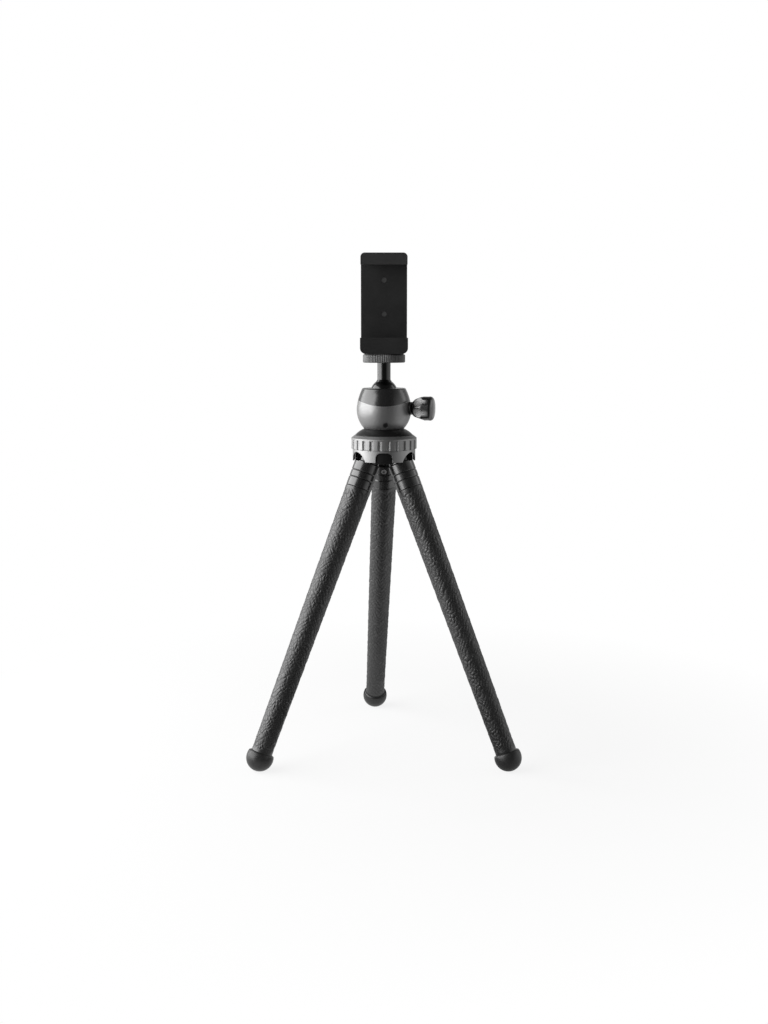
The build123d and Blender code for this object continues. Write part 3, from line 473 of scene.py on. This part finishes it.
def knob_finish():
    """Black chrome with satin finger scoops: the scoop attribute is 1 where a scoop is cut.
    The scoops are rougher, and their grey is painted lighter than the body, a painted sheen.
    """
    # painted sheen: the scoops' light grey, against the chrome body's own grey
    body, satin = (grey(88),) * 3, (grey(172),) * 3
    body_rough, satin_rough = 0.20, 0.68
    material, tree, shader, where = material_start("black chrome", body, body_rough, Metallic=1.0)
    scoop = add_node(tree, "ShaderNodeAttribute", attribute_name="scoop").outputs["Fac"]
    grain = grouped(tree, GRAIN, {"Vector": where, "Grains per m": 1800.0})
    tree.links.new(blend_colours(tree, scoop, body, satin), shader.inputs["Base Color"])
    patches = map_range(tree, grain.outputs["Handling"], 0, 1, 0.03, -0.03)
    cut = map_range(tree, scoop, 0, 1, body_rough, satin_rough)
    tree.links.new(math_node(tree, "ADD", cut, patches), shader.inputs["Roughness"])
    set_bump(tree, shader, grain.outputs["Height"], 0.002)
    return material


# Finishes by slot, each with its display grey and its roughness
LOOKS = {
    "black_nylon": moulded("black nylon", 30, 0.36, depth=0.015),
    "root_nylon": moulded(
        "glossy root nylon", 18, 0.27, depth=0.006, spread=0.08, dust=0.15, Specular_IOR_Level=1.0
    ),
    "clamp_plastic": moulded(
        "matte clamp plastic", 30, 0.46, grains=3000.0, depth=0.03, Specular_IOR_Level=0.4
    ),
    "grey_metal": turned_metal("satin grey metal", 148, 0.54),
    "ring_metal": turned_metal("satin ring metal", 146, 0.54),
    "gunmetal": metallic_paint(),
    "gloss_black": moulded(
        "gloss black plastic", 22, 0.26, depth=0.003, spread=0.05, dust=0.15, Specular_IOR_Level=0.8
    ),
    "black_metal": turned_metal("gloss black metal", 52, 0.22, depth=0.002, spread=0.05, Coat_Weight=0.5),
    "platform_grey": turned_metal("dark anodised platform", 100, 0.50),
    "knob_chrome": knob_finish(),
    "steel": turned_metal("plain steel", 170, 0.30),
    "dark_steel": turned_metal("blackened steel", 96, 0.34),
    "brass": turned_metal("brass", 200, 0.30, tint=(1.0, 0.80, 0.42)),
    "white_nylon": moulded("natural nylon", 225, 0.45),
    "pad_rubber": moulded("matte pad rubber", 34, 0.65, grains=2000.0, depth=0.03),
    "foot_rubber": moulded("smooth foot rubber", 31, 0.42, grains=2600.0, depth=0.012, dust=0.35),
    "leg_rubber": leg_rubber(),
    "core_aluminium": turned_metal("soft aluminium wire", 215, 0.40),
}

# Pieces whose finish differs from the others of their slot
DEEP_BLACK = moulded("deep black nylon", 16, 0.40, depth=0.010, dust=0.10, Specular_IOR_Level=0.3)
# painted light: the upper jaw is a lighter copy of the clamp plastic, as if it caught more light
PAINTED_LIGHT_JAW_PLASTIC = moulded("clamp plastic painted lighter", 44, 0.44, grains=3000.0, depth=0.03, Specular_IOR_Level=0.4)
PLATED_STEEL = turned_metal("plated core screw", 205, 0.50)
# painted glint: the guide screws' steel is lighter than the blackened steel
GLINT_PAINTED_STEEL = turned_metal("guide screw steel painted lighter", 108, 0.50)
OWN_FINISH = {
    "head_base": DEEP_BLACK,
    "leg_carrier": DEEP_BLACK,
    "clamp_upper_jaw": PAINTED_LIGHT_JAW_PLASTIC,
    "clamp_guide_screws": GLINT_PAINTED_STEEL,
}
OWN_FINISH |= {f"{side}_leg_core_screw": PLATED_STEEL for side in SIDES}


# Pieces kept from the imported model
def dress_cad_nodes():
    """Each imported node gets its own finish, or else that of its slot."""
    slots = {part["node"]: part["material_slot"] for part in frame["record"]["subparts"]}
    for name, obj in frame["nodes"].items():
        obj.data.materials.clear()
        obj.data.materials.append(OWN_FINISH.get(name) or LOOKS[slots[name]])


def soften(node, width):
    """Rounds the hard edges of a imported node: its triangles are welded, the edges that turn by
    more than the angle are bevelled, and the flat faces keep flat shading."""
    obj = frame["nodes"][node]
    weld = obj.modifiers.new("weld", "WELD")
    weld.merge_threshold = EDGE_WELD * MM
    bevel = obj.modifiers.new("rounded edges", "BEVEL")
    bevel.width = width * MM
    bevel.segments = EDGE_SEGMENTS
    bevel.limit_method = "ANGLE"
    bevel.angle_limit = radians(EDGE_ANGLE)
    bevel.use_clamp_overlap = True
    normals = obj.modifiers.new("flat faces", "WEIGHTED_NORMAL")
    normals.mode = "FACE_AREA"
    normals.weight = 100


# Legs
def leg_axes(side):
    """The sleeve's own frame: its start at the root's end, and x outwards, y across, z up the leg."""
    start, first_bend = place_of(f"{side}_leg_sway"), place_of(f"{side}_leg_bend_1")
    z = unit(start - first_bend)
    y = unit(joint(f"{side}_leg_bend_1")["axis"])
    return start, (np.cross(y, z), y, z)


def leg_lengths(side):
    """Distances from the sleeve's start: the step from one bend to the next, and the sleeve's end."""
    step = np.linalg.norm(place_of(f"{side}_leg_sway") - place_of(f"{side}_leg_bend_1"))
    return step, step * LENGTHS


def skin_radius(place, whole):
    """The skin's plain taper: a straight line from the top's radius to the end's."""
    return SKIN_R_TOP - (SKIN_R_TOP - SKIN_R_END) * place / whole


def sway(waves, turn, cell):
    """A sum of slow sines of the turn round the leg and the count of cells along it."""
    return sum(strength * np.sin(count * turn + slope * cell) for count, slope, strength in waves)


def relief(place, turn, step, whole):
    """Height of the embossed skin from 0 in a groove to 1 on a pad. The skin is covered by
    diamonds: u counts cells round the leg and v along it, both swayed by two slow sines that
    run opposite ways, and the grooves run where u + v or u - v is whole. Each pad is part flat
    and part domed, and neighbours differ in height: a pad's level is a sine of its own row and
    turn. Both ends of the skin fade to plain rubber."""
    u = turn[None, :] * CELLS_AROUND / tau
    v = place[:, None] * CELLS_PER_LENGTH / step
    sway_u, sway_v = sway(SWAYS_ROUND, turn, v), sway(SWAYS_ALONG, turn, v)
    u, v = u + CELL_SWAY * sway_u, v + CELL_SWAY * sway_v
    cell_a, cell_b = np.floor(u + v), np.floor(u - v)
    edge = np.minimum(np.abs(u + v - np.round(u + v)), np.abs(u - v - np.round(u - v)))
    pad = smooth_step(0, GROOVE_SHARE, edge)
    dome = 1 - (1 - 2 * edge) ** 2
    around = np.mod(cell_a + cell_b, 2 * CELLS_AROUND)
    phase = PAD_ROW_STEP * (cell_a - cell_b) + PAD_TURN_STEP * around
    level = PAD_LEVEL + PAD_LEVEL_SPREAD * np.sin(phase)
    inside = np.minimum(place, whole - place)
    ends = smooth_step(RELIEF_START, RELIEF_START + RELIEF_FADE, inside)[:, None]
    return 1 - ends * (1 - level * pad * (1 - DOME_SHARE + DOME_SHARE * dome))


def leg_skin(side, number):
    """One stretch of rubber skin: the embossed outside from one seam to the next, then back up
    the bore, as a grid that closes on itself. The first stretch starts in a hollow for the
    root's ball. The seams lie midway between the bends, and the bore has rings at its two
    ends alone. The bore has rings at its two ends alone, so it stays straight across a bend."""
    start, axes = leg_axes(side)
    step, whole = leg_lengths(side)
    first = 0 if number == 1 else step * (number - 1.5)
    last = whole if number == LENGTHS else step * (number - 0.5)
    rows = round((last - first) / step * CELLS_PER_LENGTH * SAMPLES_PER_CELL) + 1
    columns = CELLS_AROUND * SAMPLES_PER_CELL
    place = np.linspace(first, last, rows)
    turn = np.arange(columns) * tau / columns
    height = relief(place, turn, step, whole)
    outside = skin_radius(place, whole)[:, None] - RELIEF_DEPTH * (1 - height)
    if number == 1:
        ball = SKIN_R_TOP + ROOT_BALL_FIT
        turns = np.linspace(np.arcsin(SKIN_BORE_R / ball), pi / 2, SOCKET_ROWS)
        inner_place = np.concatenate([[last], ball * np.cos(turns)])
        inner = np.concatenate([[SKIN_BORE_R], ball * np.sin(turns)])
        inner = np.minimum(inner, skin_radius(inner_place, whole) - ROOT_BALL_FIT)
    else:
        inner_place = np.array([last, first])
        inner = np.array([SKIN_BORE_R, SKIN_BORE_R])
    radius = np.vstack([outside, np.repeat(inner[:, None], columns, 1)])
    along = -np.concatenate([place, inner_place])
    grid = turned_grid(radius, along, start, axes, columns)
    faces = ring_faces(len(along), columns, True)
    name = f"{side}_leg_skin_{number}"
    skin = piece(name, grid.reshape(-1, 3), faces, LOOKS["leg_rubber"])
    values = np.vstack([height, np.ones((len(inner), columns))]).ravel().astype(np.float32)
    skin.data.attributes.new("relief", "FLOAT", "POINT").data.foreach_set("value", values)
    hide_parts(f"{side}_leg_sleeve_{number}")
    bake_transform(skin)


def ball_foot(side):
    """Rubber ball foot: a flat ledge with a rounded lip under the sleeve's end, then the ball,
    pressed flat where it stands. The flat is a soft maximum of each height and the floor."""
    start, axes = leg_axes(side)
    middle = leg_lengths(side)[1] + FOOT_LEDGE_RISE
    ledge_r = sqrt(FOOT_R**2 - FOOT_LEDGE_RISE**2)
    lip_r, lip_z = ledge_r - FOOT_LIP_R, FOOT_LEDGE_RISE - FOOT_LIP_R
    lip_turn = np.degrees(np.arctan2(lip_z, lip_r))
    profile = np.vstack([
        [(r, FOOT_LEDGE_RISE) for r in (FOOT_TIP_R, SKIN_BORE_R, SKIN_R_END - FOOT_LEDGE_FIT)],
        arc((lip_r, lip_z), FOOT_LIP_R, 90, lip_turn, FOOT_LIP_ROWS),
        arc((0, 0), FOOT_R, lip_turn, FOOT_BALL_END, FOOT_BALL_ROWS),
    ])
    ball = np.hypot(profile[:, 0], profile[:, 1])
    profile *= np.minimum(1, FOOT_R / ball)[:, None]
    grid = turned_grid(profile[:, 0], profile[:, 1] - middle, start, axes, FOOT_COLUMNS)
    z = grid[..., 2]
    grid[..., 2] = (z + np.sqrt(z**2 + FOOT_FLAT_BLEND**2)) * 0.5
    points, faces = capped(grid)
    foot = piece(f"{side}_ball_foot", points, faces, LOOKS["foot_rubber"], 60)
    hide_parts(f"{side}_foot")
    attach(foot, f"{side}_leg_length_4")


# Head
def knob_profile(steps):
    """The tulip's outline as (radius, place): an arc from the neck that runs upright at the
    waist, a straight wall, a quarter circle and a slightly crowned end."""
    waist = KNOB_LENGTH * KNOB_WAIST_SHARE
    centre = (KNOB_R**2 - KNOB_NECK_R**2 - waist**2) / (2 * (KNOB_R - KNOB_NECK_R))
    swing = KNOB_R - centre
    flank = arc((centre, waist), swing, -np.degrees(np.arcsin(waist / swing)), 0, steps)
    end_r = KNOB_R - KNOB_CORNER_R
    corner = arc((end_r, KNOB_LENGTH - KNOB_CORNER_R), KNOB_CORNER_R, 0, 90, steps // 2)
    share = np.linspace(*KNOB_END_SHARES)
    end = np.stack([end_r * share, KNOB_LENGTH + KNOB_END_CROWN * (1 - share**2)], -1)
    return np.vstack([flank, corner, end])


def polished_knob():
    """The lock knob: the tulip outline turned about its screw, less a ring of balls. Where a
    point lies inside a ball it moves in to the ball's near side, with a soft minimum."""
    origin = place_of("lock_knob_turn")
    z = unit(joint("lock_knob_turn")["axis"])
    x = np.array([0, 0, -1.0])
    y = np.cross(z, x)
    profile = knob_profile(KNOB_FLANK_ROWS)
    turn = np.arange(KNOB_COLUMNS) * tau / KNOB_COLUMNS
    radius = np.repeat(profile[:, :1], KNOB_COLUMNS, 1)
    scoop = np.zeros(radius.shape)
    high = profile[:, 1:] - KNOB_LENGTH * KNOB_DIMPLE_SHARE
    for n in range(KNOB_DIMPLES):
        away = turn - radians(KNOB_TURN) - tau * n / KNOB_DIMPLES
        reach = KNOB_DIMPLE_R**2 - high**2 - (KNOB_DIMPLE_OUT * np.sin(away)) ** 2
        near = KNOB_DIMPLE_OUT * np.cos(away) - np.sqrt(np.maximum(reach, 0))
        cut = np.where((reach > 0) & (np.cos(away) > 0), near, KNOB_R + KNOB_DIMPLE_R)
        gap = radius - cut
        scoop = np.maximum(scoop, smooth_step(0, KNOB_EDGE, gap))
        softer = (radius + cut - np.sqrt(gap**2 + KNOB_EDGE**2)) * 0.5
        radius = np.where(cut < radius + KNOB_EDGE, np.minimum(softer, radius), radius)
    along = profile[:, 1] + KNOB_GAP
    grid = turned_grid(radius, along, origin, (x, y, z), KNOB_COLUMNS)
    points, faces = capped(grid)
    knob = piece("polished_lock_knob", points, faces, LOOKS["knob_chrome"], 50)
    values = np.append(scoop.ravel(), [0, 0]).astype(np.float32)
    knob.data.attributes.new("scoop", "FLOAT", "POINT").data.foreach_set("value", values)
    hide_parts("lock_knob")
    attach(knob, "lock_knob")


def knurled_platform():
    """The camera platform: a bevelled disc whose rim is cut by fine V grooves; the depth of a
    groove is a triangle wave of the turn, and it fades out over the bevels."""
    low, high = (np.array(corner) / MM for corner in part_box("camera_platform"))
    centre = (low + high) / 2
    height = high[2] - low[2]
    edge = PLATFORM_R - PLATFORM_BEVEL
    half = [
        (PLATFORM_BORE_R, 0),
        (edge - PLATFORM_FACE_STEP, 0),
        (edge, PLATFORM_EDGE_STEP),
        (PLATFORM_R, PLATFORM_BEVEL),
        (PLATFORM_R, PLATFORM_BEVEL + PLATFORM_EDGE_STEP),
    ]
    profile = np.array(half + [(r, height - z) for r, z in half[::-1]])
    columns = PLATFORM_FLUTES * PLATFORM_FLUTE_COLUMNS
    turn = np.arange(columns) * PLATFORM_FLUTES / columns
    groove = 1 - 2 * np.abs(np.mod(turn, 1) - 0.5)
    deep = np.clip(1 - (1 - groove) * PLATFORM_FLUTE_STEEP, 0, 1)
    outer = smooth_step(edge - PLATFORM_FLUTE_IN, PLATFORM_R, profile[:, :1])
    radius = profile[:, :1] - PLATFORM_FLUTE_DEPTH * deep * outer
    origin = np.array([centre[0], centre[1], low[2]])
    grid = turned_grid(radius, profile[:, 1], origin, np.eye(3), columns)
    faces = ring_faces(len(profile), columns, True)
    points = grid.reshape(-1, 3)
    made = piece("knurled_platform", points, faces, LOOKS["platform_grey"], 35)
    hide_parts("camera_platform")
    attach(made, "ball")


# Phone clamp
def ribbed_pad(node, body, up):
    """A jaw pad with rounded ribs across it: a wave along the depth on the side that grips,
    carried along the width. up is 1 where the ribs face upwards and -1 where they face down."""
    low, high = (np.array(corner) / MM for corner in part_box(node))
    depth = high[1] - low[1]
    ribs = int(depth / PAD_RIB_PITCH)
    y = np.linspace(0, depth, ribs * PAD_RIB_ROWS + 1)
    wave = PAD_RIB_DEPTH * np.abs(np.sin(pi * ribs * y / depth)) ** PAD_RIB_POWER
    face, back = (high[2], low[2]) if up > 0 else (low[2], high[2])
    z = face - up * (PAD_RIB_DEPTH - wave)
    outline = [(low[1] + a, b) for a, b in zip(y, z)] + [(high[1], back), (low[1], back)]
    count = len(outline)
    points = [(low[0], a, b) for a, b in outline] + [(high[0], a, b) for a, b in outline]
    faces = [[k, (k + 1) % count, count + (k + 1) % count, count + k] for k in range(count)]
    faces += [list(range(count))[::-1], list(range(count, 2 * count))]
    pad = piece(f"ribbed_{node}", points, faces, LOOKS["pad_rubber"], 50)
    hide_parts(node)
    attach(pad, body)


# Studio
def camera():
    """The photograph's view, from a little above the clamp's foot."""
    data = bpy.data.cameras.new("camera")
    data.sensor_fit = "VERTICAL"
    data.sensor_height = FRAME_HEIGHT
    data.lens = LENS
    obj = bpy.data.objects.new("camera", data)
    obj.location = CAMERA_PLACE
    obj.rotation_euler = (radians(CAMERA_TILT), 0, 0)
    bpy.context.scene.collection.objects.link(obj)
    bpy.context.scene.camera = obj


def softbox(name, azimuth, elevation, distance, size, power):
    """A rectangular lamp that looks at the head from an azimuth measured from the camera's side,
    positive to the camera's left."""
    data = bpy.data.lights.new(name, "AREA")
    data.shape = "RECTANGLE"
    data.size, data.size_y = size
    data.energy = power
    obj = bpy.data.objects.new(name, data)
    side, up = radians(azimuth), radians(elevation)
    towards = np.array([-sin(side) * cos(up), -cos(side) * cos(up), sin(up)])
    obj.location = np.array(LAMP_TARGET) + towards * distance
    obj.rotation_euler = (pi / 2 - up, 0, -side)
    bpy.context.scene.collection.objects.link(obj)


def studio_group():
    """What a shiny surface sees in a direction: a white wall on the left, a light one on the
    right and a greyer one behind, a dark front, as a photographer's flag makes it, a dim table
    below and a dim ceiling. The direction is the vector made one long."""
    tree, given, out = new_group("studio", {"Vector": None}, ("Strength",))
    way = add_node(tree, "ShaderNodeVectorMath", {0: given[0]}, operation="NORMALIZE").outputs[0]
    x, y, z = add_node(tree, "ShaderNodeSeparateXYZ", {0: way}).outputs
    foot = map_range(tree, z, *LEFT_WALL_FOOT_Z, 1.0, LEFT_WALL_FOOT)
    left = math_node(tree, "MULTIPLY", map_range(tree, x, *LEFT_WALL_X), foot)
    level = map_range(tree, x, *BACK_WALL_X, *BACK_WALL)
    behind = math_node(tree, "MULTIPLY", map_range(tree, y, *BACK_WALL_Y), level)
    wall = math_node(tree, "MAXIMUM", left, behind)
    wall = math_node(tree, "MAXIMUM", wall, map_range(tree, x, *RIGHT_WALL_X, 0.0, RIGHT_WALL))
    wall = math_node(tree, "MAXIMUM", wall, map_range(tree, z, *FLOOR_GLOW_Z, 0.0, FLOOR_GLOW))
    low = map_range(tree, z, *CEILING_Z, 1.0, CEILING)
    tree.links.new(math_node(tree, "ADD", math_node(tree, "MULTIPLY", wall, low), FRONT_WALL), out[0])
    return tree


STUDIO = studio_group()


def rays(tree):
    """Two sockets: 1 for what the camera sees itself, and 1 for what it sees in or through
    something shiny."""
    path = add_node(tree, "ShaderNodeLightPath").outputs
    shiny = math_node(tree, "MAXIMUM", path["Is Glossy Ray"], path["Is Transmission Ray"])
    return path["Is Camera Ray"], shiny


def white_world():
    """White to the camera, the studio's walls to shiny surfaces, and plain soft light to
    everything else."""
    world = bpy.data.worlds.new("studio")
    world.use_nodes = True
    bpy.context.scene.world = world
    tree = world.node_tree
    direct, shiny = rays(tree)
    where = add_node(tree, "ShaderNodeTexCoord").outputs["Generated"]
    walls = grouped(tree, STUDIO, {"Vector": where}).outputs["Strength"]
    soft = add_node(tree, "ShaderNodeMix", {"Factor": shiny, "A": SOFT_LIGHT, "B": walls})
    inputs = {"Factor": direct, "A": soft.outputs["Result"], "B": 1.0}
    seen = add_node(tree, "ShaderNodeMix", inputs)
    background = tree.nodes["Background"]
    background.inputs["Color"].default_value = (1, 1, 1, 1)
    tree.links.new(seen.outputs["Result"], background.inputs["Strength"])


def pale_floor():
    """A wide pale sheet. The camera sees mostly plain white, and the rest of it is lit, so that
    it keeps a soft shadow round the feet; shiny surfaces see the studio's walls in it."""
    corners = [(x * FLOOR_HALF, y * FLOOR_HALF, 0) for x, y in ((-1, -1), (1, -1), (1, 1), (-1, 1))]
    mesh = bpy.data.meshes.new("floor")
    mesh.from_pydata(corners, [], [(0, 1, 2, 3)])
    floor = bpy.data.objects.new("floor", mesh)
    bpy.context.scene.collection.objects.link(floor)
    material = bpy.data.materials.new("pale floor")
    material.use_nodes = True
    tree = material.node_tree
    tree.nodes.remove(tree.nodes["Principled BSDF"])
    direct, shiny = rays(tree)
    where = add_node(tree, "ShaderNodeTexCoord").outputs["Object"]
    distance = add_node(tree, "ShaderNodeVectorMath", {0: where}, operation="LENGTH")
    whiter = map_range(tree, distance.outputs["Value"], *FLOOR_FADE, FLOOR_WHITE, 1.0)
    share = math_node(tree, "MAXIMUM", math_node(tree, "MULTIPLY", direct, whiter), shiny)
    walls = grouped(tree, STUDIO, {"Vector": where}).outputs["Strength"]
    strength = add_node(tree, "ShaderNodeMix", {"Factor": shiny, "A": 1.0, "B": walls})
    lit = add_node(tree, "ShaderNodeBsdfDiffuse", {"Color": (FLOOR_TONE, FLOOR_TONE, FLOOR_TONE, 1)})
    plain_inputs = {"Color": (1, 1, 1, 1), "Strength": strength.outputs["Result"]}
    plain = add_node(tree, "ShaderNodeEmission", plain_inputs)
    mixed = add_node(tree, "ShaderNodeMixShader", {0: share, 1: lit.outputs[0], 2: plain.outputs[0]})
    tree.links.new(mixed.outputs[0], tree.nodes["Material Output"].inputs["Surface"])
    mesh.materials.append(material)


camera()
white_world()
pale_floor()
softbox("key softbox", azimuth=82, elevation=18, distance=0.80, size=(1.3, 0.9), power=15.0)
softbox("fill softbox", azimuth=-105, elevation=25, distance=1.4, size=(0.4, 1.0), power=1.5)
bpy.context.scene.view_settings.view_transform = "Standard"

dress_cad_nodes()
for side in SIDES:
    for number in range(1, LENGTHS + 1):
        leg_skin(side, number)
    ball_foot(side)
    soften(f"{side}_leg_root", ROOT_EDGE)
for node, width in EDGE_WIDTHS.items():
    soften(node, width)
polished_knob()
knurled_platform()
ribbed_pad("lower_jaw_pad", "phone_clamp", 1)
ribbed_pad("upper_jaw_pad", "upper_jaw", -1)
